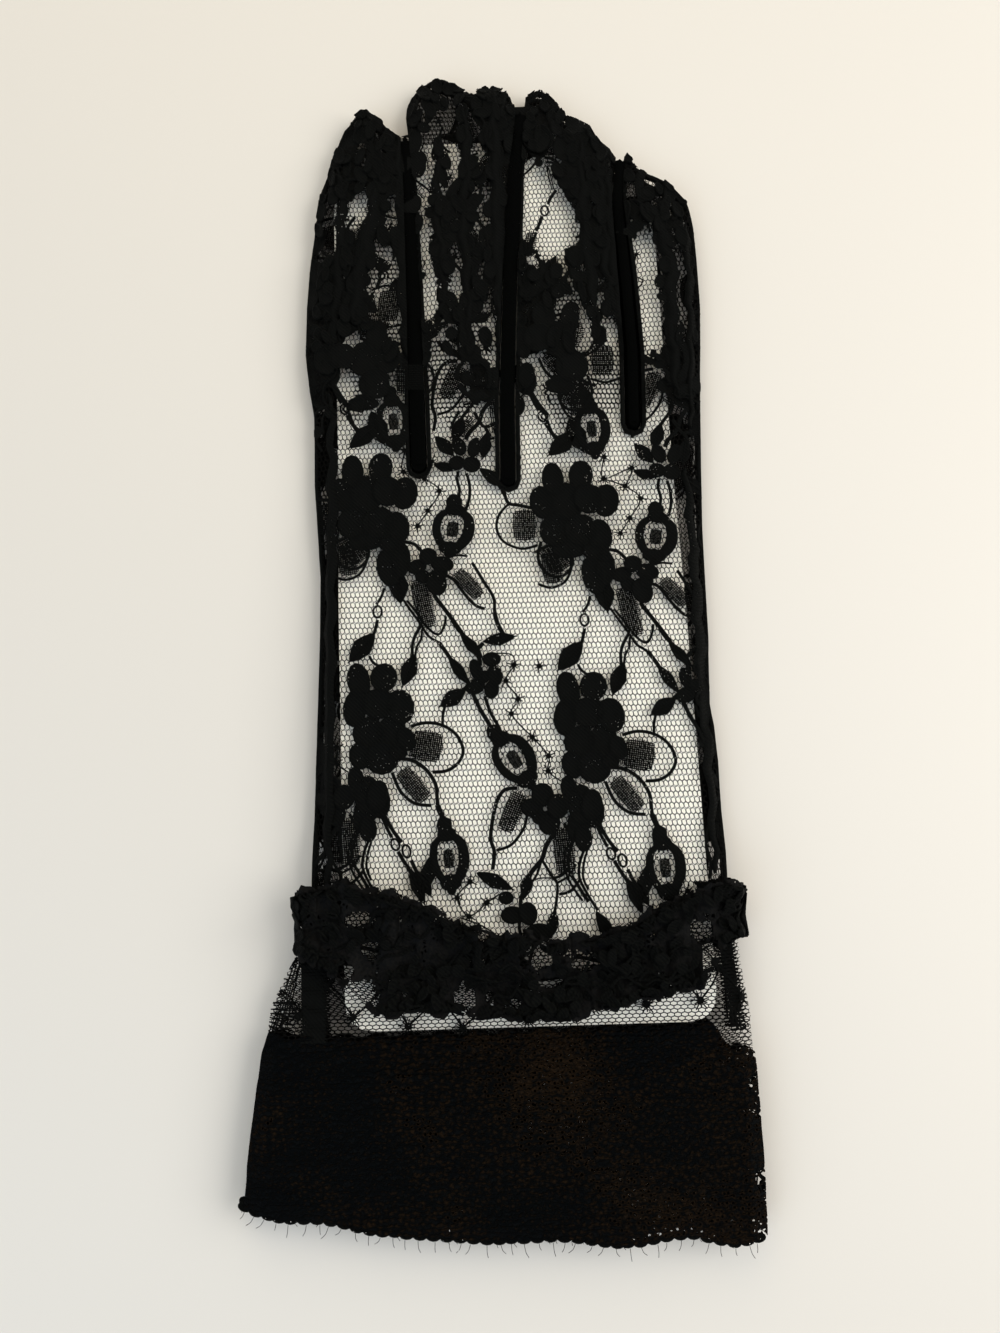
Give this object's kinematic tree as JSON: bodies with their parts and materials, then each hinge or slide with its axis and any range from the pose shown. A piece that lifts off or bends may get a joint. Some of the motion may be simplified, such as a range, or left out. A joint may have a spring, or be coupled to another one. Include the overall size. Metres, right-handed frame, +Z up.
{
  "type": "lace evening glove on an insert card",
  "caption": "Floral lace evening glove lying flat, with a gathered wrist frill, a flared cuff and the insert card inside it.",
  "frame": {"origin": "the middle of the footprint, on the surface that the glove lies on", "axes": "+Y from the hem to the fingertips, +X towards the little finger, +Z up out of the back of the hand"},
  "size_m": [0.107, 0.2698, 0.0102],
  "materials": {
    "floral_lace": "black nylon net with woven roses, buds and leaves",
    "seam_thread": "dense black overlocked thread",
    "gathered_lace": "black lace gathered in pleats, with frayed edges",
    "cuff_lace": "black dotted net, then a dense ribbed lace band with a picot hem",
    "card": "smooth warm white card, uncoated"
  },
  "bodies": {
    "root": {"back_panel": "floral_lace", "palm_panel": "floral_lace", "thumb": "floral_lace", "seam_index_middle": "seam_thread", "seam_middle_ring": "seam_thread", "seam_ring_little": "seam_thread", "frill": "gathered_lace", "cuff": "cuff_lace", "insert_card": "card"}
  },
  "joints": []
}
